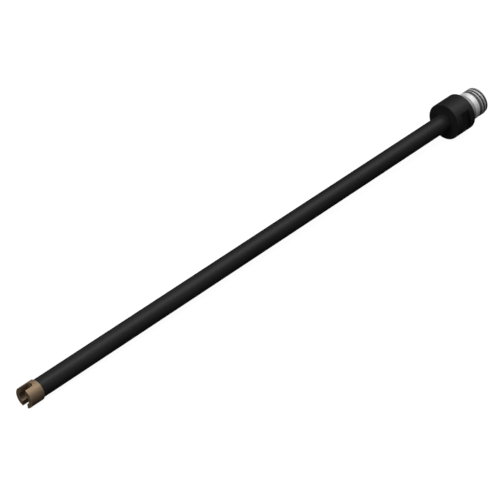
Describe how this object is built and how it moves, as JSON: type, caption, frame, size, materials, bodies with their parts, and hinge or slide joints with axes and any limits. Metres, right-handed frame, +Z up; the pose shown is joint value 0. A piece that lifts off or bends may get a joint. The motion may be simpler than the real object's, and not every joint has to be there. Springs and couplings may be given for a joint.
{
  "type": "diamond core bit",
  "caption": "Long slim core drill bit: slotted sintered diamond crown on a black steel tube, with a collar with wrench flats and a threaded bare steel shank.",
  "frame": {"origin": "bottom centre of the box that the tool fills as it lies on a flat surface", "axes": "+X along the tool towards the threaded shank, +Z up, +Y sideways through the wrench flats; the tool's own axis climbs 0.93 degrees towards the shank, because the collar is thicker than the crown"},
  "size_m": [0.491, 0.0304, 0.0307],
  "materials": {
    "crown": "matte sintered metal with fine grit",
    "tube": "satin black",
    "hub": "satin black collar, bare turned steel shank"
  },
  "bodies": {
    "root": {"crown": "crown", "tube": "tube", "hub": "hub"}
  },
  "joints": []
}
